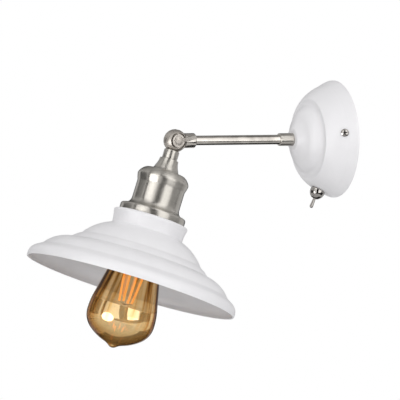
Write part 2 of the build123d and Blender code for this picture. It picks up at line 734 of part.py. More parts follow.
ball_flat = sqrt(BALL_RADIUS ** 2 - BALL_FLAT_RADIUS ** 2)
stud_start = ball_flat - NECK_STUD_LENGTH
pocket_floor = washer_back - FREE_CLEARANCE
across_ball = Plane(origin=(0, 0, 0), x_dir=(0, 1, 0), z_dir=(1, 0, 0)).location
pin_hole = PIVOT_RADIUS + RUNNING_CLEARANCE
hub_radius = pin_hole + HUB_WALL
ball = Sphere(BALL_RADIUS)
ball &= block(centred(2 * BALL_RADIUS), centred(2 * BALL_RADIUS), (-BALL_RADIUS, ball_flat))
for start, end in ((pocket_floor, BALL_RADIUS), (-BALL_RADIUS, -pocket_floor)):
    ball -= across_ball * rod(POCKET_RADIUS, start, end)
ball -= across_ball * rod(pin_hole, -BALL_RADIUS, BALL_RADIUS)
ball -= rod(NECK_STUD_RADIUS + THREAD_CLEARANCE, stud_start, ball_flat)
ball -= rod(NECK_BORE, 0, ball_flat)
slot_corners = [(0, 0)]
for angle in (
    HEAD_TILT - TILT_DOWN - CABLE_SLOT_MARGIN,
    HEAD_TILT + (TILT_UP - TILT_DOWN) / 2,
    HEAD_TILT + TILT_UP + CABLE_SLOT_MARGIN,
):
    reach = 2 * BALL_RADIUS
    slot_corners.append((-reach * cos(radians(angle)), -reach * sin(radians(angle))))
cable_slot = extrude(Polygon(*slot_corners), CABLE_SLOT_WIDTH / 2, both=True)
cable_slot += rod(CHAMBER_RADIUS, *centred(CABLE_SLOT_WIDTH))
cable_slot -= rod(hub_radius, *centred(CABLE_SLOT_WIDTH))
ball -= across_ball * cable_slot
add("knuckle_ball", ball, head_frame)

# Neck, and the cap and nut on its spigot

cap_top = ball_flat + NECK_LENGTH
collar_foot = cap_top + CAP_COLLAR_HEIGHT
flare_foot = collar_foot + CAP_FLARE_HEIGHT
shoulder_foot = flare_foot + CAP_SHOULDER_HEIGHT
roll_foot = shoulder_foot + CAP_ROLL_HEIGHT
body_foot = roll_foot + CAP_BODY_HEIGHT
flange_top = body_foot + CAP_FOOT_HEIGHT
cap_foot = flange_top + CAP_FLANGE_HEIGHT
cap_ceiling = flare_foot + CAP_CROWN
cap_nut_foot = cap_ceiling + CAP_NUT_HEIGHT
cap_bore = CAP_BODY_RADIUS - CAP_WALL
holder_top = cap_nut_foot + HOLDER_GAP
spigot_end = holder_top + HOLDER_SOCKET - NECK_SPIGOT_GAP
spigot_hole = NECK_SPIGOT_RADIUS + THREAD_CLEARANCE
neck = turned_corners(
    (NECK_BORE, stud_start),
    (NECK_STUD_RADIUS, stud_start),
    (NECK_STUD_RADIUS, ball_flat),
    (NECK_RADIUS - NECK_EDGE, ball_flat),
    (NECK_RADIUS, ball_flat + NECK_EDGE),
    (NECK_RADIUS, cap_top),
    (NECK_SPIGOT_RADIUS, cap_top),
    (NECK_SPIGOT_RADIUS, spigot_end),
    (NECK_BORE, spigot_end),
)
add("neck", neck, head_frame)
cap = turned(chain(
    (spigot_hole, cap_top, 0),
    (CAP_COLLAR_RADIUS, cap_top, CAP_COLLAR_SAG),
    (CAP_COLLAR_FOOT_RADIUS, collar_foot, CAP_FLARE_SAG),
    (CAP_FLARE_RADIUS, flare_foot, CAP_SHOULDER_SAG),
    (CAP_SHOULDER_RADIUS, shoulder_foot, CAP_ROLL_SAG),
    (CAP_BODY_RADIUS, roll_foot, 0),
    (CAP_BODY_RADIUS, body_foot, CAP_FOOT_SAG),
    (CAP_FOOT_RADIUS, flange_top, 0),
    (CAP_FLANGE_RADIUS - CAP_FLANGE_ROUND, flange_top, CAP_FLANGE_ROUND * QUARTER_SAG),
    (CAP_FLANGE_RADIUS, flange_top + CAP_FLANGE_ROUND, 0),
    (CAP_FLANGE_RADIUS, cap_foot, 0),
    (cap_bore, cap_foot, 0),
    (cap_bore, shoulder_foot, 0),
    (CAP_FLARE_RADIUS - CAP_WALL, cap_ceiling, 0),
    (spigot_hole, cap_ceiling, 0),
    (spigot_hole, cap_top, 0),
))
add("holder_cap", cap, head_frame)
cap_nut = hexagon(CAP_NUT_FLATS, cap_ceiling, cap_nut_foot) - rod(spigot_hole, cap_ceiling, cap_nut_foot)
add("cap_nut", cap_nut, head_frame)

# Lampholder on the end of the spigot, sized by the bulb's screw cap

cavity_top = holder_top + HOLDER_HEAD
bulb_top = cavity_top + BULB_SEAT
insulator_top = bulb_top + BULB_CONTACT_HEIGHT
bulb_cap_top = insulator_top + BULB_INSULATOR_HEIGHT
bulb_cap_foot = bulb_cap_top + BULB_CAP_LENGTH
holder_foot = bulb_cap_foot + HOLDER_SKIRT
holder_radius = cap_bore - HOLDER_CLEARANCE
shell_bore = BULB_CAP_RADIUS + FREE_CLEARANCE
shell_radius = shell_bore + SHELL_WALL
holder_cavity = shell_radius + FREE_CLEARANCE
holder = turned_corners(
    (NECK_BORE, holder_top + HOLDER_SOCKET),
    (spigot_hole, holder_top + HOLDER_SOCKET),
    (spigot_hole, holder_top),
    (holder_radius, holder_top),
    (holder_radius, holder_foot),
    (holder_cavity, holder_foot),
    (holder_cavity, cavity_top),
    (NECK_BORE, cavity_top),
)
add("lampholder", holder, head_frame)
shell_floor = cavity_top + SHELL_FLOOR
screw_shell = turned_corners(
    (SHELL_HOLE, cavity_top),
    (shell_radius, cavity_top),
    (shell_radius, bulb_cap_foot),
    (shell_bore, bulb_cap_foot),
    (shell_bore, shell_floor),
    (SHELL_HOLE, shell_floor),
)
add("screw_shell", screw_shell, head_frame)
add("centre_contact", rod(CONTACT_RADIUS, cavity_top, bulb_top), head_frame)

# Shade under the cap, and the ring that holds it

waist = cap_foot + COLLAR_HEIGHT
bell_foot = waist + BELL_HEIGHT
step_foot = bell_foot + BELL_STEP_HEIGHT
skirt_foot = step_foot + SKIRT_HEIGHT
skirt_step = skirt_foot + SKIRT_STEP_HEIGHT
rim = skirt_step + RIM_HEIGHT
shade_outside = chain(
    (holder_radius + SHADE_HOLE_CLEARANCE, cap_foot, 0),
    (COLLAR_RADIUS - COLLAR_ROUND, cap_foot, COLLAR_ROUND * QUARTER_SAG),
    (COLLAR_RADIUS, cap_foot + COLLAR_ROUND, COLLAR_SAG),
    (WAIST_RADIUS, waist, BELL_SAG),
    (BELL_RADIUS, bell_foot, BELL_STEP_SAG),
    (BELL_STEP_RADIUS, step_foot, SKIRT_SAG),
    (SKIRT_RADIUS, skirt_foot, 0),
    (SKIRT_STEP_RADIUS, skirt_step, RIM_SAG),
    (RIM_RADIUS, rim, 0),
)
add("shade", shell(shade_outside, SHADE_WALL), head_frame)
ring_top = cap_foot + SHADE_WALL
ring_bore = holder_radius + THREAD_CLEARANCE
ring_radius = COLLAR_RADIUS - COLLAR_ROUND - SHADE_WALL - RING_GAP
shade_ring = turned_corners(
    (ring_bore, ring_top),
    (ring_radius, ring_top),
    (ring_radius, ring_top + RING_FLANGE),
    (holder_radius + RING_WALL, ring_top + RING_FLANGE),
    (holder_radius + RING_WALL, ring_top + RING_HEIGHT),
    (ring_bore, ring_top + RING_HEIGHT),
)
add("shade_ring", shade_ring, head_frame)

# Bulb: contact, insulator and screw cap

add("bulb_contact", rod(BULB_CONTACT_RADIUS, bulb_top, insulator_top), head_frame)
insulator = turned_corners(
    (0, insulator_top),
    (BULB_CONTACT_RADIUS, insulator_top),
    (BULB_INSULATOR_RADIUS, bulb_cap_top),
    (0, bulb_cap_top),
)
add("bulb_insulator", insulator, head_frame)
thread_root = BULB_CAP_RADIUS - BULB_THREAD_DEPTH
thread_turns = int(BULB_CAP_LENGTH / BULB_THREAD_PITCH) - 1
cap_sheet = thread_root - BULB_CAP_WALL
thread_stops = [
    (thread_root, bulb_cap_top + turn * BULB_THREAD_PITCH, BULB_THREAD_DEPTH)
    for turn in range(thread_turns)
]
bulb_cap = turned(chain(
    (BULB_INSULATOR_RADIUS, bulb_cap_top, 0),
    *thread_stops,
    (thread_root, bulb_cap_top + thread_turns * BULB_THREAD_PITCH, 0),
    (thread_root, bulb_cap_foot, 0),
    (cap_sheet, bulb_cap_foot, 0),
    (cap_sheet, bulb_cap_top + BULB_CAP_WALL, 0),
    (BULB_INSULATOR_RADIUS, bulb_cap_top + BULB_CAP_WALL, 0),
    (BULB_INSULATOR_RADIUS, bulb_cap_top, 0),
))
add("bulb_cap", bulb_cap, head_frame)

# Bulb glass, from its neck in the cap to the crown and the drawn tip at its end

glass_top = bulb_cap_foot - GLASS_NECK_OVERLAP
glass_shoulder = bulb_cap_foot + GLASS_SHOULDER_HEIGHT
cone_foot = glass_shoulder + GLASS_CONE_HEIGHT
belly = cone_foot + GLASS_BELLY_HEIGHT
cheek = belly + GLASS_CHEEK_HEIGHT
crown_foot = cheek + GLASS_CROWN_HEIGHT
tip_foot = crown_foot + GLASS_TIP_HEIGHT
neck_outside = cap_sheet - THREAD_CLEARANCE
cone_slope = at(GLASS_CONE_RADIUS - GLASS_SHOULDER_RADIUS, GLASS_CONE_HEIGHT)
neck_point = at(neck_outside, bulb_cap_foot)
shoulder_point = at(GLASS_SHOULDER_RADIUS, glass_shoulder)
glass_outside = [
    Line(at(neck_outside, glass_top), neck_point),
    Spline(neck_point, shoulder_point, tangents=[at(0, 1), cone_slope]),
    *chain(
        (GLASS_SHOULDER_RADIUS, glass_shoulder, 0),
        (GLASS_CONE_RADIUS, cone_foot, GLASS_BELLY_SAG),
        (GLASS_RADIUS, belly, GLASS_CHEEK_SAG),
        (GLASS_CHEEK_RADIUS, cheek, GLASS_CROWN_SAG),
        (GLASS_CROWN_RADIUS, crown_foot, GLASS_TIP_SAG),
        (GLASS_TIP_RADIUS, tip_foot, 0),
    ),
]
tip_end = tip_foot + GLASS_END_HEIGHT
seal_root = tip_foot - GLASS_SEAL_DEPTH
seal_sides = chain((0, tip_end, 0), (0, seal_root, 0), (GLASS_TIP_RADIUS, seal_root, 0),
                   (GLASS_TIP_RADIUS, tip_foot, 0))
glass_seal = turned([dome(GLASS_TIP_RADIUS, tip_foot, tip_end), *seal_sides])
add("bulb_glass", shell(glass_outside, GLASS_WALL) + glass_seal, head_frame)

# Stem in the bulb's neck, and the filaments that hang from it

stem_foot = glass_top + STEM_LENGTH
stem_end = stem_foot + STEM_TIP_LENGTH
stem = turned_corners(
    (0, glass_top),
    (neck_outside - GLASS_WALL - THREAD_CLEARANCE, glass_top),
    (STEM_RADIUS, bulb_cap_foot),
    (STEM_RADIUS, stem_foot - STEM_RADIUS),
    (STEM_TIP_RADIUS, stem_foot),
    (STEM_TIP_RADIUS, stem_end),
    (0, stem_end),
)
add("bulb_stem", stem, head_frame)
filament_top = stem_foot + FILAMENT_DROP
filament_foot = filament_top + FILAMENT_LENGTH
wire_root = stem_foot + FILAMENT_ROOT_DROP
wire_hub = (0, 0, filament_foot + FILAMENT_HUB_DROP)
filaments = []
upper_wires = []
lower_wires = straight(FILAMENT_WIRE_RADIUS, (0, 0, stem_end), wire_hub)
for index in range(FILAMENT_COUNT):
    turn = Rot(0, 0, FILAMENT_TURN + 360 / FILAMENT_COUNT * index)
    top = at(FILAMENT_TOP_RING, filament_top)
    foot = at(FILAMENT_FOOT_RING, filament_foot)
    past = (foot - top).normalized() * FILAMENT_WIRE_GAP
    root = at(STEM_TIP_RADIUS + FILAMENT_WIRE_GAP, wire_root)
    filaments.append(turn * straight(FILAMENT_RADIUS, top, foot))
    upper_wires.append(turn * straight(FILAMENT_WIRE_RADIUS, root, top - past))
    lower_wires += turn * straight(FILAMENT_WIRE_RADIUS, wire_hub, foot + past)
add("filaments", filaments, head_frame)
add("filament_wires", upper_wires + lower_wires.solids(), head_frame)

# Inside wiring of the canopy, the arm and the head

wire_spread = WIRE_RADIUS + WIRE_GAP / 2
pole_low = block_low + WIRE_GRIP
block_turn = block_low - WIRE_LEAD
lug_foot = body_low - LUG_LENGTH - THREAD_CLEARANCE
lug_turn = lug_foot - WIRE_LEAD
nipple_mouth = nipple_start - WIRE_LEAD


def switch_point(x, z):
    """Point of the switch's frame, given in the wall's frame."""
    place = switch_frame.from_local_coords((x, 0, z))
    return (place.X, place.Z, -place.Y)


live_from_block = wire(
    (pole_xs[0], pole_low, sleeve_height),
    (pole_xs[0], block_turn, sleeve_height),
    switch_point(lug_xs[0], lug_turn),
    switch_point(lug_xs[0], lug_foot),
)
live_to_arm = wire(
    switch_point(lug_xs[1], lug_foot),
    switch_point(lug_xs[1], lug_turn),
    (-wire_spread, 0, nipple_mouth),
    (-wire_spread, 0, nipple_end),
)
neutral_to_arm = wire(
    (pole_xs[1], pole_low, sleeve_height),
    (pole_xs[1], block_turn, sleeve_height),
    (wire_spread, 0, nipple_mouth),
    (wire_spread, 0, nipple_end),
)
earth_level = PLATE_THICKNESS + WIRE_RADIUS + THREAD_CLEARANCE
earth_end = EARTH_Z + EARTH_HEAD_RADIUS + THREAD_CLEARANCE
earth_from_block = wire(
    (pole_xs[2], pole_low, sleeve_height),
    (pole_xs[2], block_turn, sleeve_height),
    (EARTH_X, earth_end + WIRE_LEAD, earth_level),
    (EARTH_X, earth_end, earth_level),
)
add("live_wires", [live_from_block, live_to_arm], wall_frame)
add("neutral_wire", neutral_to_arm, wall_frame)
add("earth_wire", earth_from_block, wall_frame)
arm_wire = rod(WIRE_RADIUS, flange_start, ARM_REACH - BALL_RADIUS)
arm_wire_drop = FORK_BORE - WIRE_RADIUS - wire_spread
add("arm_wires", [Pos(side * wire_spread, -arm_wire_drop, 0) * arm_wire for side in (-1, 1)], wall_frame)
head_wire = rod(WIRE_RADIUS, stud_start, cavity_top)
add("head_wires", [Pos(side * wire_spread, 0, 0) * head_wire for side in (-1, 1)], head_frame)

os.makedirs("parts", exist_ok=True)
for name, shape in parts.items():
    export_step(shape, f"parts/{name}.step")
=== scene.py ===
from math import atan2, cos, pi, radians, sin

import bpy
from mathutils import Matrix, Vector


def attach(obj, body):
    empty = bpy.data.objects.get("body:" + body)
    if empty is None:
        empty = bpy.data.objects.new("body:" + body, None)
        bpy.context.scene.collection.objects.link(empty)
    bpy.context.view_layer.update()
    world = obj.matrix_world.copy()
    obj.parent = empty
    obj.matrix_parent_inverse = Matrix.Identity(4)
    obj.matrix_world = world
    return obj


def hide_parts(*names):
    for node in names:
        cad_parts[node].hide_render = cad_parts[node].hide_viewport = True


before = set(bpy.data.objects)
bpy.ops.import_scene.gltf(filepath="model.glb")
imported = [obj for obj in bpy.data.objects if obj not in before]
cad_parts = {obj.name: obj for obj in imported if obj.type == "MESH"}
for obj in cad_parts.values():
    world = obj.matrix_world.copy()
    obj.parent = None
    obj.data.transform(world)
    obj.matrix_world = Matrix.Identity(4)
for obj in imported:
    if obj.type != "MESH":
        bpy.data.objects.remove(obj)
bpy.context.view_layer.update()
scene = bpy.context.scene
scene.view_settings.view_transform = "Standard"

# Sizes below are millimetres, and Blender works in metres
MM = 0.001

# The lamp's axes: the arm leaves the wall along -Y, the head leans from the ball's centre, and the
# switch stands square to the canopy's slope, with its lever thrown to one side
BALL_CENTRE = (0, -160.3, 0)
SWITCH_SEAT = (0, -15.6, -46.527)
LEVER_PIVOT = (0, -17.1, -49.125)
WALL_TURN = (radians(90), 0, 0)
HEAD_TURN = (radians(180 - 18.8), 0, 0)
SWITCH_TURN = (radians(180 - 30), 0, 0)
LEVER_TURN = (0, radians(12.5), 0)

# Reach of the fork's cast eyes from the ball's centre
EYE_REACH = 6.4

# The bulb's painted reflection streaks are whole down to the first of these distances from the ball, and
# gone at the second
STREAKS_WHOLE = 150
STREAKS_GONE = 182

# Painted reflection streaks round the bulb, and how short they are along it, in units of its map
STREAKS_ROUND = 26
STREAKS_ALONG = 0.6

# Middle of the lamp, which the studio stands round, in metres
STUDIO_CENTRE = Vector((0, -0.17, -0.07))
FLOOR_HEIGHT = -0.7
FLOOR_RADIUS = 3.2


# Camera, at the photograph's place

camera_data = bpy.data.cameras.new("camera")
camera_data.lens = 769.752
camera_data.sensor_width = 36
camera_data.clip_start = 0.1
camera_data.clip_end = 100
camera = bpy.data.objects.new("camera", camera_data)
camera.location = (7.0207, -3.4614, 0.1812)
camera.rotation_euler = (radians(90 - 1.735), 0, radians(64.65))
scene.collection.objects.link(camera)
scene.camera = camera


# Materials


def linear(code):
    """Linear colour of an sRGB hex value."""
    parts = [int(code[start:start + 2], 16) / 255 for start in (0, 2, 4)]
    return [part / 12.92 if part <= 0.04045 else ((part + 0.055) / 1.055) ** 2.4 for part in parts] + [1]


def node(tree, kind, inputs=None, stops=(), **settings):
    """Add a node with its settings and (place, hex) stops, and fill its inputs from values or outputs."""
    made = tree.nodes.new(kind)
    for name, value in settings.items():
        setattr(made, name, value)
    for index, (place, code) in enumerate(stops):
        band = made.color_ramp.elements
        stop = band[index] if index < len(band) else band.new(place)
        stop.position = place
        stop.color = linear(code)
    for name, value in (inputs or {}).items():
        if isinstance(value, bpy.types.NodeSocket):
            tree.links.new(value, made.inputs[name])
        else:
            made.inputs[name].default_value = value
    return made


def material(name, **sockets):
    """New material with a Principled shader, whose plain sockets are set here."""
    made = bpy.data.materials.new(name)
    made.use_nodes = True
    shader = made.node_tree.nodes["Principled BSDF"]
    for socket, value in sockets.items():
        shader.inputs[socket.replace("_", " ")].default_value = value
    return made, made.node_tree, shader


def powder_coat(name, low, high, rough):
    """Polyester powder baked on steel: an even satin white with a faint orange peel.
    The peel is about 1 mm from crest to crest, and is drawn at 2.4 mm so that it shows."""
    made, tree, shader = material(name, IOR=1.5)
    place = node(tree, "ShaderNodeTexCoord").outputs["Object"]
    cloud = node(tree, "ShaderNodeTexNoise", {"Vector": place, "Scale": 1 / (30 * MM), "Detail": 3.0})
    peel = node(tree, "ShaderNodeTexNoise", {"Vector": place, "Scale": 1 / (2.4 * MM), "Detail": 1.5})
    tone = node(tree, "ShaderNodeValToRGB", {"Fac": cloud.outputs["Fac"]}, [(0.3, low), (0.7, high)])
    gloss = node(tree, "ShaderNodeMapRange", {
        "Value": peel.outputs["Fac"], "From Min": 0.3, "From Max": 0.7,
        "To Min": rough - 0.04, "To Max": rough + 0.04,
    })
    bump = node(tree, "ShaderNodeBump", {
        "Height": peel.outputs["Fac"], "Strength": 0.5, "Distance": 0.1 * MM,
    })
    tree.links.new(tone.outputs["Color"], shader.inputs["Base Color"])
    tree.links.new(gloss.outputs["Result"], shader.inputs["Roughness"])
    tree.links.new(bump.outputs["Normal"], shader.inputs["Normal"])
    return made


def grained_metal(name, dark, light, rough, grain, centre=(0, 0, 0), turn=(0, 0, 0), depth=0.002, spread=0):
    """Metal with a directional or even grain. The grain is its length in mm along the local X, Y and Z
    axes of a frame that stands at centre and is turned as the piece is. Tool marks that run round a turned
    piece spread its reflections along its axis."""
    made, tree, shader = material(name, Metallic=1.0, Anisotropic=spread, Anisotropic_Rotation=0.25)
    if spread:
        marks = node(tree, "ShaderNodeTangent", direction_type="UV_MAP", uv_map="turned")
        tree.links.new(marks.outputs["Tangent"], shader.inputs["Tangent"])
    place = node(tree, "ShaderNodeTexCoord").outputs["Object"]
    local = node(tree, "ShaderNodeMapping", {
        "Vector": place, "Location": [value * MM for value in centre], "Rotation": turn,
        "Scale": [length * MM for length in grain],
    }, vector_type="TEXTURE").outputs["Vector"]
    streak = node(tree, "ShaderNodeTexNoise", {"Vector": local, "Scale": 1.0, "Detail": 3.0})
    cloud = node(tree, "ShaderNodeTexNoise", {"Vector": place, "Scale": 1 / (14 * MM), "Detail": 2.0})
    mixed = node(tree, "ShaderNodeMix", {
        "Factor": 0.5, "A": streak.outputs["Fac"], "B": cloud.outputs["Fac"],
    }, data_type="FLOAT")
    tone = node(tree, "ShaderNodeValToRGB", {"Fac": mixed.outputs["Result"]}, [(0.3, dark), (0.7, light)])
    gloss = node(tree, "ShaderNodeMapRange", {
        "Value": mixed.outputs["Result"], "From Min": 0.3, "From Max": 0.7,
        "To Min": rough * 0.88, "To Max": rough * 1.12,
    })
    bump = node(tree, "ShaderNodeBump", {
        "Height": streak.outputs["Fac"], "Strength": 0.3, "Distance": depth * MM,
    })
    tree.links.new(tone.outputs["Color"], shader.inputs["Base Color"])
    tree.links.new(gloss.outputs["Result"], shader.inputs["Roughness"])
    tree.links.new(bump.outputs["Normal"], shader.inputs["Normal"])
    return made


def moulded(name, low, high, rough, size, painted_glow=0):
    """Moulded, fired or extruded insulation: one colour with a soft mottle and a fine skin. A painted glow
    of its own colour can be given, which shines the same whatever light falls on it."""
    made, tree, shader = material(name, IOR=1.5, Emission_Strength=painted_glow)
    place = node(tree, "ShaderNodeTexCoord").outputs["Object"]
    mottle = node(tree, "ShaderNodeTexNoise", {"Vector": place, "Scale": 1 / (size * MM), "Detail": 3.0})
    skin = node(tree, "ShaderNodeTexNoise", {"Vector": place, "Scale": 1 / (0.5 * MM), "Detail": 2.0})
    tone = node(tree, "ShaderNodeValToRGB", {"Fac": mottle.outputs["Fac"]}, [(0.3, low), (0.7, high)])
    gloss = node(tree, "ShaderNodeMapRange", {
        "Value": skin.outputs["Fac"], "From Min": 0.3, "From Max": 0.7,
        "To Min": rough * 0.85, "To Max": rough * 1.15,
    })
    bump = node(tree, "ShaderNodeBump", {
        "Height": skin.outputs["Fac"], "Strength": 0.2, "Distance": 0.02 * MM,
    })
    tree.links.new(tone.outputs["Color"], shader.inputs["Base Color"])
    tree.links.new(tone.outputs["Color"], shader.inputs["Emission Color"])
    tree.links.new(gloss.outputs["Result"], shader.inputs["Roughness"])
    tree.links.new(bump.outputs["Normal"], shader.inputs["Normal"])
    return made


def blown_glass(name, tints, size, streaks=0.1, **sockets):
    """Blown glass: clear and smooth, with a faint ripple. The tint deepens from the first stop to the last
    where the wall is seen edge on and more of it is looked through. Bright and dark streaks along the
    bulb are painted reflections drawn into the tint, and fade towards its belly."""
    made, tree, shader = material(name, Transmission_Weight=1.0, **sockets)
    place = node(tree, "ShaderNodeTexCoord").outputs["Object"]
    cloud = node(tree, "ShaderNodeTexNoise", {"Vector": place, "Scale": 1 / (size * MM), "Detail": 2.0})
    edge_on = node(tree, "ShaderNodeLayerWeight", {"Blend": 0.5}).outputs["Facing"]
    around = node(tree, "ShaderNodeUVMap", uv_map="turned").outputs["UV"]
    drawn = node(tree, "ShaderNodeMapping", {
        "Vector": around, "Scale": (STREAKS_ROUND, STREAKS_ALONG, 1),
    }).outputs["Vector"]
    streak = node(tree, "ShaderNodeTexNoise", {"Vector": drawn, "Scale": 1.0, "Detail": 2.0})
    local = node(tree, "ShaderNodeMapping", {
        "Vector": place, "Location": [value * MM for value in BALL_CENTRE], "Rotation": HEAD_TURN,
    }, vector_type="TEXTURE").outputs["Vector"]
    along = node(tree, "ShaderNodeSeparateXYZ", {"Vector": local}).outputs["Z"]
    upper = node(tree, "ShaderNodeMapRange", {
        "Value": along, "From Min": STREAKS_WHOLE * MM, "From Max": STREAKS_GONE * MM,
        "To Min": streaks, "To Max": 0.08,
    })
    # Painted reflection: bright and dark streaks drawn into the tint along the bulb
    painted_streak_swing = node(tree, "ShaderNodeMath", {0: streak.outputs["Fac"], 1: 0.5}, operation="SUBTRACT")
    painted_reflection_streaks = node(tree, "ShaderNodeMath", {
        0: painted_streak_swing.outputs[0], 1: upper.outputs["Result"],
    }, operation="MULTIPLY")
    depth = node(tree, "ShaderNodeMath", {0: edge_on, 1: painted_reflection_streaks.outputs[0]})
    tone = node(tree, "ShaderNodeValToRGB", {"Fac": depth.outputs[0]}, tints)
    bump = node(tree, "ShaderNodeBump", {
        "Height": cloud.outputs["Fac"], "Strength": 0.1, "Distance": 0.1 * MM,
    })
    tree.links.new(tone.outputs["Color"], shader.inputs["Base Color"])
    tree.links.new(bump.outputs["Normal"], shader.inputs["Normal"])
    return made


white_coat = powder_coat("white_powder_coat", "E3E2E4", "E8E7E9", 0.45)
# The shade's inside is drawn a darker grey than its outside
shade_inside_grey = powder_coat("shade_inside_grey_coat", "C9C8CA", "CFCED0", 0.5)
# Satin nickel plate on turned brass: tool marks run round the axis, and draw bright bands along it
head_nickel = grained_metal(
    "satin_nickel_turned", "B4B0A9", "C2BEB7", 0.3, (60, 60, 1.5), BALL_CENTRE, HEAD_TURN, 0.0005, 0.98)
ferrule_nickel = grained_metal(
    "satin_nickel_ferrule", "B4B0A9", "C2BEB7", 0.3, (60, 60, 1.5), (0, 0, 0), WALL_TURN, 0.0005, 0.98)
# The tube is brushed along its length, and its fine dark and bright lines along it are painted reflections
# drawn in its colour over the brushed grain
tube_nickel_painted_lines = grained_metal(
    "satin_nickel_brushed_painted_lines", "6A6560", "DAD5CE", 0.14, (1.3, 1.3, 400), (0, 0, 0), WALL_TURN, 0.0003)
# The ball and the pivot are cast and blasted before they are plated, and the fork is machined
cast_nickel = grained_metal("satin_nickel_cast", "B0AAA3", "BCB6AF", 0.46, (0.9, 0.9, 0.9), depth=0.002)
machined_nickel = grained_metal(
    "satin_nickel_machined", "BEB9B2", "C8C3BC", 0.18, (1.2, 1.2, 1.2), depth=0.0005)
chrome = grained_metal("polished_chrome", "A29E9A", "ACA8A4", 0.06, (1.5, 1.5, 1.5), depth=0.0005)
zinc = grained_metal("zinc_plated_steel", "A9AFB4", "C3C7CA", 0.32, (2.5, 2.5, 2.5))
brass = grained_metal("brass", "C9A75C", "D9BA72", 0.28, (0.8, 0.8, 0.8))
bulb_metal = grained_metal("bulb_cap_metal", "C2C0B9", "D2D0C9", 0.25, (1.2, 1.2, 1.2))
filament_wire = grained_metal("filament_lead_wire", "8A6A3C", "A8854E", 0.3, (0.6, 0.6, 0.6))
nylon = moulded("white_nylon", "E6E4DC", "EFEDE6", 0.4, 6)
phenolic = moulded("black_phenolic", "17171A", "202024", 0.35, 4)
porcelain = moulded("glazed_porcelain", "EDEAE1", "F4F2EB", 0.12, 9)
brown_pvc = moulded("brown_pvc", "5B3A25", "69452D", 0.4, 5)
blue_pvc = moulded("blue_pvc", "2C5FA8", "356BB5", 0.4, 5)
green_pvc = moulded("green_pvc", "3F8F3A", "4C9C44", 0.4, 5)
silicone = moulded("white_silicone", "E8E6E1", "F0EFEA", 0.5, 5)
# The filaments get a painted glow of their own colour, though the bulb is not lit
phosphor = moulded("filament_phosphor", "FF9A10", "FFAE22", 0.5, 1.2, painted_glow=1.3)
# The bulb carries a thin gold film outside that mirrors a part of the light, on clear glass. The film
# turns brown where it is seen edge on
# Its tint also carries painted reflection streaks down the bulb's upper part
gold_film = blown_glass("gold_film_on_glass", [
    (0.0, "FAE0B0"), (0.25, "F0CE92"), (0.5, "C48E46"), (0.72, "7E5120"), (0.88, "4A2C0C"), (1.0, "241403"),
], 25, streaks=5.0, Roughness=0.02, IOR=1.5, Metallic=0.5, Specular_Tint=linear("B49468"))
clear_glass = blown_glass(
    "clear_bulb_glass", [(0.0, "FAF4E8"), (1.0, "F0E6D2")], 20, Roughness=0.01, IOR=1.5)
stem_glass = blown_glass("stem_glass", [(0.0, "F2EEE4"), (1.0, "DDD6C8")], 6, Roughness=0.03, IOR=1.5)

FINISHES = {
    "wall_plate": zinc, "canopy": white_coat, "canopy_screws": chrome, "earth_screw": brass,
    "terminal_block": nylon, "terminal_sleeves": brass, "terminal_screws": zinc, "nipple": brass,
    "nipple_nut": zinc, "lock_washer": zinc, "ferrule": ferrule_nickel, "swivel_washer": nylon,
    "switch_body": phenolic, "switch_bush": chrome, "switch_washer": zinc, "switch_nut": zinc,
    "switch_dome_nut": chrome, "switch_lugs": brass, "live_wires": brown_pvc, "neutral_wire": blue_pvc,
    "earth_wire": green_pvc, "switch_lever": chrome, "arm_tube": tube_nickel_painted_lines, "fork": machined_nickel,
    "friction_washers": nylon, "pivot_screw": cast_nickel, "pivot_nut": cast_nickel, "arm_wires": silicone,
    "knuckle_ball": cast_nickel, "neck": head_nickel, "holder_cap": head_nickel, "cap_nut": zinc,
    "lampholder": porcelain, "screw_shell": brass, "centre_contact": brass, "shade_ring": porcelain,
    "shade": white_coat, "bulb_contact": bulb_metal, "bulb_insulator": phenolic, "bulb_cap": bulb_metal,
    "bulb_glass": gold_film, "bulb_stem": stem_glass, "filaments": phosphor,
    "filament_wires": filament_wire, "head_wires": silicone,
}
for name, finish in FINISHES.items():
    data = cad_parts[name].data
    data.materials.clear()
    data.materials.append(finish)


# Turned pieces


def pick(piece):
    """Select one piece alone and make it the active one."""
    bpy.ops.object.select_all(action="DESELECT")
    piece.select_set(True)
    bpy.context.view_layer.objects.active = piece


def profile(stops, parts=8):
    """Points through (radius, height, sag) stops, where a sag bows the line to the next stop."""
    points = []
    for (radius, height, sag), (next_radius, next_height, _) in zip(stops, stops[1:]):
        start, end = Vector((radius, height)), Vector((next_radius, next_height))
        points.append(start)
        if sag:
            chord = end - start
            right = Vector((chord.y, -chord.x)).normalized()
            for index in range(1, parts):
                share = index / parts
                points.append(start + chord * share + right * (4 * sag * share * (1 - share)))
    points.append(Vector(stops[-1][:2]))
    return points


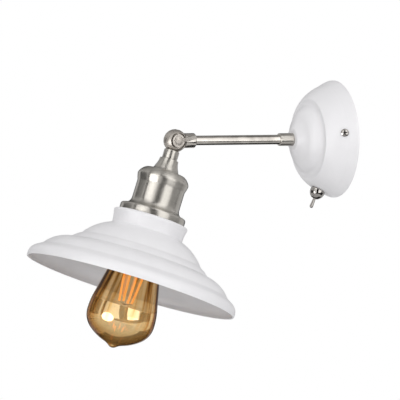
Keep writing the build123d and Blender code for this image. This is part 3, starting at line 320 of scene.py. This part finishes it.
def turn_piece(name, stops, corners, sides=144):
    """Turn a profile about Z: a circle is drawn along it ring by ring, and its (radius, height, width)
    corners are rounded. A profile that comes back to its start closes into a solid."""
    points = profile(stops)
    bpy.ops.object.select_all(action="DESELECT")
    bpy.ops.mesh.primitive_circle_add(vertices=sides, radius=points[0].x * MM, calc_uvs=False)
    piece = bpy.context.object
    piece.name = name
    bpy.ops.object.mode_set(mode="EDIT")
    bpy.ops.mesh.select_all(action="SELECT")
    bpy.ops.transform.translate(value=(0, 0, points[0].y * MM))
    for start, end in zip(points, points[1:]):
        bpy.ops.mesh.extrude_edges_move(TRANSFORM_OT_translate={"value": (0, 0, (end.y - start.y) * MM)})
        if end.x == 0:
            bpy.ops.mesh.merge(type="CENTER")
        else:
            share = end.x / start.x
            bpy.ops.transform.resize(value=(share, share, 1), center_override=(0, 0, end.y * MM))
    bpy.ops.mesh.select_all(action="SELECT")
    bpy.ops.mesh.remove_doubles(threshold=0.01 * MM)
    bpy.ops.mesh.normals_make_consistent(inside=False)
    bpy.ops.mesh.select_mode(type="EDGE")
    for radius, height, width in corners:
        bpy.ops.mesh.select_all(action="DESELECT")
        bpy.ops.object.mode_set(mode="OBJECT")
        mesh = piece.data
        ring = {
            vertex.index for vertex in mesh.vertices
            if abs(vertex.co.z - height * MM) < 0.01 * MM
            and abs(vertex.co.xy.length - radius * MM) < 0.02 * MM
        }
        for edge in mesh.edges:
            edge.select = ring.issuperset(edge.vertices)
        bpy.ops.object.mode_set(mode="EDIT")
        bpy.ops.mesh.bevel(offset=width * MM, segments=4, affect="EDGES", clamp_overlap=True)
    bpy.ops.object.mode_set(mode="OBJECT")
    turned_map(piece.data)
    return piece


def turned_map(mesh):
    """Map that runs round a turned piece and along its outline, as the tool marks do. It counts turns in
    one direction, and tenths of a metre in the other, to which the radius adds a part so that flat faces
    are mapped too."""
    per_metre, radius_share = 10, 0.4
    layer = mesh.uv_layers.new(name="turned")
    for face in mesh.polygons:
        middle = atan2(face.center.y, face.center.x)
        for corner in face.loop_indices:
            place = mesh.vertices[mesh.loops[corner].vertex_index].co
            around = atan2(place.y, place.x) - middle
            around = (around + pi) % (2 * pi) - pi + middle
            outline = (place.z + radius_share * place.xy.length) * per_metre
            layer.uv[corner].vector = (around / (2 * pi), outline)


def thicken(piece, wall, inner_slot=0):
    """Give a sheet its wall, inwards from the outside that was drawn."""
    solid = piece.modifiers.new("wall", "SOLIDIFY")
    solid.thickness = wall * MM
    solid.offset = -1
    solid.use_even_offset = True
    solid.material_offset = inner_slot
    pick(piece)
    bpy.ops.object.modifier_apply(modifier=solid.name)


def put(piece, turn, centre=(0, 0, 0)):
    """Turn a piece and move it, and keep that in its mesh."""
    piece.rotation_euler = turn
    piece.location = [value * MM for value in centre]
    pick(piece)
    bpy.ops.object.transform_apply(location=True, rotation=True, scale=True)


def stand_for(piece, node_name, body, angle=35):
    """Shade a piece smoothly apart from its sharp edges, and let it stand for a CAD node on its body."""
    pick(piece)
    bpy.ops.object.shade_smooth_by_angle(angle=radians(angle))
    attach(piece, body)
    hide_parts(node_name)


# Shade: spun steel, white outside and grey inside
shade = turn_piece("shade_bell", [
    (20.5, 73.787, 0), (32.8, 73.787, 0.586), (34.8, 75.787, -0.4), (33.1, 87.487, 2.3),
    (56.6, 104.987, 0.5), (65.6, 111.987, 2.9), (87.8, 124.687, 0), (92.2, 127.287, 2.4), (98.0, 138.987, 0),
], [
    (33.1, 87.487, 1.4), (56.6, 104.987, 1.0), (65.6, 111.987, 1.0), (87.8, 124.687, 1.0),
    (92.2, 127.287, 0.9),
])
shade.data.materials.append(white_coat)
shade.data.materials.append(shade_inside_grey)
thicken(shade, 1.2, 1)
put(shade, HEAD_TURN, BALL_CENTRE)
stand_for(shade, "shade", "head")

# Canopy: spun steel, open at the wall. The switch and the side screws cover its holes
canopy = turn_piece("canopy_shell", [
    (53.6, 0, 0), (53.6, 1.0, 0.2), (50.2, 8.1, 0), (49.5, 9.1, 1.5), (37.3, 26.3, -1.0),
    (30.2, 27.7, 1.1), (20.0, 36.1, -0.3), (10.2, 42.1, 0), (5.0, 42.1, 0),
], [
    (53.6, 1.0, 0.4), (50.2, 8.1, 0.4), (49.5, 9.1, 0.4), (37.3, 26.3, 0.9), (30.2, 27.7, 0.8),
    (20.0, 36.1, 1.2), (10.2, 42.1, 0.4),
])
canopy.data.materials.append(white_coat)
thicken(canopy, 1.0)
put(canopy, WALL_TURN)
stand_for(canopy, "canopy", "base")

# Cap over the lampholder
cap = turn_piece("cap_turned", [
    (5.0, 17.887, 0), (8.6, 17.887, -0.5), (10.8, 25.887, -2.0), (17.2, 29.487, 1.0), (24.0, 36.787, 0.2),
    (22.3, 43.387, 0), (22.3, 59.687, -1.8), (28.0, 66.687, 0), (28.4, 66.687, 0.644), (30.6, 68.887, 0),
    (30.6, 73.787, 0), (21.1, 73.787, 0), (21.1, 36.787, 0), (16.0, 31.087, 0), (5.0, 31.087, 0),
    (5.0, 17.887, 0),
], [
    (8.6, 17.887, 0.4), (10.8, 25.887, 0.6), (17.2, 29.487, 1.2), (24.0, 36.787, 2.0), (22.3, 43.387, 1.0),
    (22.3, 59.687, 0.8), (30.6, 73.787, 0.3),
])
cap.data.materials.append(head_nickel)
put(cap, HEAD_TURN, BALL_CENTRE)
stand_for(cap, "holder_cap", "head")

# Neck between the ball and the cap
neck = turn_piece("neck_turned", [
    (2.3, 5.287, 0), (3.5, 5.287, 0), (3.5, 9.287, 0), (6.5, 9.287, 0), (7.0, 9.787, 0), (7.0, 17.887, 0),
    (4.95, 17.887, 0), (4.95, 40.887, 0), (2.3, 40.887, 0), (2.3, 5.287, 0),
], [(7.0, 9.787, 0.2), (7.0, 17.887, 0.3)])
neck.data.materials.append(head_nickel)
put(neck, HEAD_TURN, BALL_CENTRE)
stand_for(neck, "neck", "head")

# Bulb: a blown sheet from the neck in its cap to the seal at its end, gold outside and clear inside
bulb = turn_piece("bulb_blown", [
    (11.85, 80.087, 0), (11.85, 86.087, -0.5), (14.2, 89.561, 0.5), (16.6, 93.087, 0), (30.0, 154.087, 0.4),
    (31.5, 168.687, 1.83), (24.5, 183.987, 0.9), (9.0, 192.687, -0.3), (3.4, 195.787, 0.3), (0, 196.987, 0),
], [])
bulb.data.materials.append(gold_film)
bulb.data.materials.append(clear_glass)
thicken(bulb, 0.8, 1)
put(bulb, HEAD_TURN, BALL_CENTRE)
bulb.visible_shadow = False
stand_for(bulb, "bulb_glass", "head", 60)

# Ferrule that the arm turns in
ferrule = turn_piece("ferrule_turned", [
    (5.0, 42.1, 0), (5.8, 42.1, 0), (5.8, 55.4, 0), (5.3, 55.9, 0), (4.46, 55.9, 0), (4.46, 50.4, 0),
    (5.01, 50.4, 0), (5.01, 47.1, 0), (5.0, 42.1, 0),
], [(5.8, 55.4, 0.2), (5.3, 55.9, 0.2)])
ferrule.data.materials.append(ferrule_nickel)
put(ferrule, WALL_TURN)
stand_for(ferrule, "ferrule", "base")

# Chrome dome nut of the switch, and its lever with a rounded tip
dome_nut = turn_piece("switch_dome", [
    (3.0, 0, 0), (6.8, 0, 0), (6.8, 1.2, 1.0), (3.2, 8.2, 0), (3.0, 8.2, 0), (3.0, 0, 0),
], [(6.8, 0, 0.25), (6.8, 1.2, 0.3), (3.2, 8.2, 0.2)])
dome_nut.data.materials.append(chrome)
put(dome_nut, SWITCH_TURN, SWITCH_SEAT)
stand_for(dome_nut, "switch_dome_nut", "base")

lever = turn_piece("lever_turned", [
    (0.7, -3.5, 0), (0.8, -1.67, 0.54), (1.85, 0, 0.46), (1.0, 1.55, 0), (1.65, 14.15, 0.48), (0, 15.8, 0),
], [], sides=48)
lever.data.materials.append(chrome)
put(lever, LEVER_TURN)
put(lever, SWITCH_TURN, LEVER_PIVOT)
stand_for(lever, "switch_lever", "switch_lever")


# Machined and cast pieces, with their edges broken


def break_edges(name, node_name, body, width):
    """Copy a piece, merge its faces into one skin and round its sharp edges."""
    piece = bpy.data.objects.new(name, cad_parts[node_name].data.copy())
    scene.collection.objects.link(piece)
    pick(piece)
    bpy.ops.mesh.customdata_custom_splitnormals_clear()
    bpy.ops.object.mode_set(mode="EDIT")
    bpy.ops.mesh.select_all(action="SELECT")
    bpy.ops.mesh.remove_doubles(threshold=0.005 * MM)
    bpy.ops.mesh.dissolve_limited(angle_limit=radians(1))
    bpy.ops.object.mode_set(mode="OBJECT")
    edge = piece.modifiers.new("edge", "BEVEL")
    edge.width = width * MM
    edge.segments = 3
    edge.limit_method = "ANGLE"
    edge.angle_limit = radians(28)
    bpy.ops.object.modifier_apply(modifier=edge.name)
    stand_for(piece, node_name, body, 40)
    return piece


fork = break_edges("fork_cast", "fork", "arm", 0.35)
# The fork's eyes are left as they were cast, inside the ball's pockets
fork.data.materials.append(cast_nickel)
for face in fork.data.polygons:
    if (face.center - Vector(BALL_CENTRE) * MM).yz.length < EYE_REACH * MM:
        face.material_index = 1
break_edges("ball_cast", "knuckle_ball", "head", 0.3)
break_edges("pivot_screw_head", "pivot_screw", "arm", 0.15)
break_edges("pivot_nut_head", "pivot_nut", "arm", 0.15)
break_edges("side_screws", "canopy_screws", "base", 0.15)
break_edges("tube_drawn", "arm_tube", "arm", 0.1)


# Floor, light and the studio round the lamp


def world_light():
    """White backdrop for what the camera and clear or shiny surfaces see, and an even light for the rest."""
    world = bpy.data.worlds.new("studio")
    scene.world = world
    world.use_nodes = True
    tree = world.node_tree
    rays = node(tree, "ShaderNodeLightPath").outputs
    seen = node(tree, "ShaderNodeMath", {
        0: rays["Is Camera Ray"], 1: rays["Is Glossy Ray"],
    }, operation="MAXIMUM")
    seen = node(tree, "ShaderNodeMath", {
        0: seen.outputs[0], 1: rays["Is Transmission Ray"],
    }, operation="MAXIMUM")
    level = node(tree, "ShaderNodeMapRange", {"Value": seen.outputs[0], "To Min": 0.66, "To Max": 1.0})
    backdrop = tree.nodes["Background"]
    backdrop.inputs["Color"].default_value = linear("FFFFFF")
    tree.links.new(level.outputs["Result"], backdrop.inputs["Strength"])


def aim(thing, azimuth, elevation, distance):
    """Put a lamp or a card at a point of a sphere round the lamp, facing the lamp."""
    around, up = radians(azimuth), radians(elevation)
    outward = Vector((sin(around) * cos(up), -cos(around) * cos(up), sin(up)))
    thing.location = STUDIO_CENTRE + outward * distance
    thing.rotation_euler = outward.to_track_quat("Z", "Y").to_euler()


def softbox(name, azimuth, elevation, distance, width, height, power, mirrored=True):
    """Soft lamp, which can be kept out of what shiny surfaces mirror."""
    data = bpy.data.lights.new(name, "AREA")
    data.shape = "RECTANGLE"
    data.size = width
    data.size_y = height
    data.energy = power
    lamp = bpy.data.objects.new(name, data)
    lamp.visible_camera = False
    lamp.visible_glossy = mirrored
    aim(lamp, azimuth, elevation, distance)
    scene.collection.objects.link(lamp)


def card(name, azimuth, elevation, distance, width, height, low, high, level=1.0, sides=4):
    """Studio card with soft upright folds, dark or lit, which is only seen where something mirrors it."""
    bpy.ops.object.select_all(action="DESELECT")
    half_side = pi / sides
    bpy.ops.mesh.primitive_circle_add(
        vertices=sides, radius=0.5 / cos(half_side), fill_type="NGON", rotation=(0, 0, half_side))
    bpy.ops.object.transform_apply(location=False, rotation=True, scale=False)
    made = bpy.context.object
    made.name = name
    made.scale = (width, height, 1)
    aim(made, azimuth, elevation, distance)
    made.visible_camera = False
    made.visible_diffuse = False
    made.visible_transmission = False
    made.visible_shadow = False
    paint, tree, shader = material(
        name + "_paint", Roughness=1.0, Specular_IOR_Level=0, Emission_Strength=level)
    shader.inputs["Base Color"].default_value = linear("000000")
    place = node(tree, "ShaderNodeTexCoord").outputs["Object"]
    local = node(tree, "ShaderNodeMapping", {
        "Vector": place, "Scale": (width * 3, height * 0.3, 1),
    }).outputs["Vector"]
    fold = node(tree, "ShaderNodeTexNoise", {"Vector": local, "Scale": 1.0, "Detail": 2.0})
    tone = node(tree, "ShaderNodeValToRGB", {"Fac": fold.outputs["Fac"]}, [(0.35, low), (0.65, high)])
    tree.links.new(tone.outputs["Color"], shader.inputs["Emission Color"])
    made.data.materials.append(paint)


world_light()
softbox("softbox_left", 40, 16, 2.0, 1.3, 2.2, 9)
softbox("softbox_right", 104, 14, 2.0, 1.5, 2.2, 9.5)
softbox("softbox_top", 60, 80, 2.2, 2.0, 2.0, 6, mirrored=False)
# Two lit bands with a dark flag between them draw the bands on the turned nickel, and a round lamp in
# front makes the bulb's highlight
card("band_left", 39, 12, 1.95, 1.25, 3.6, "F2F2F2", "FFFFFF", 1.35)
card("band_right", 105, 18, 1.95, 1.4, 4.2, "F2F2F2", "FFFFFF", 2.1)
card("lamp_low", 17, -9, 1.15, 0.84, 0.8, "F4F4F4", "FFFFFF", 5.0, 48)
card("flag_between", 71, 12, 1.9, 0.92, 4.2, "040404", "101010")
# Dark flags give the metal and the bulb their dark lines and edges
card("flag_left", -3, 25, 2.4, 0.42, 2.4, "181818", "2A2A2A")
card("flag_near_left", -38, 8, 0.475, 0.42, 0.27, "141414", "242424")
card("flag_near_right", 146, -18, 0.38, 0.34, 0.11, "303030", "484848")
# Large cards stand for the room all round
card("card_left", -52, 5, 2.8, 6.4, 5.0, "E0E0E0", "FFFFFF", 0.76)
card("card_right", 178, 5, 2.8, 7.0, 5.0, "C8C8C8", "ECECEC")
card("card_back", 244, 0, 2.4, 2.4, 4.0, "2C2C2C", "484848")
card("card_top", 240, 72, 3.0, 4.0, 4.0, "9A9A9A", "B4B4B4")
card("card_low", 64, -88, 0.6, 5.0, 5.0, "D2D2D2", "E6E6E6")
# The room darkens near the floor, in front of the lamp and behind it
card("flag_front_low", 84, -24, 1.2, 3.6, 0.4, "404040", "5A5A5A")
card("flag_low", 232, -62, 0.5, 0.8, 0.48, "242424", "3C3C3C")

bpy.ops.object.select_all(action="DESELECT")
bpy.ops.mesh.primitive_circle_add(
    vertices=96, radius=FLOOR_RADIUS, fill_type="NGON", location=(0, 0, FLOOR_HEIGHT))
floor = bpy.context.object
floor.name = "floor"
floor_paint, tree, shader = material("pale_floor_paint", Roughness=0.8)
place = node(tree, "ShaderNodeTexCoord").outputs["Object"]
cloud = node(tree, "ShaderNodeTexNoise", {"Vector": place, "Scale": 1 / (400 * MM), "Detail": 3.0})
tone = node(tree, "ShaderNodeValToRGB", {"Fac": cloud.outputs["Fac"]}, [(0.3, "F0F0F0"), (0.7, "F4F4F4")])
tree.links.new(tone.outputs["Color"], shader.inputs["Base Color"])
floor.data.materials.append(floor_paint)
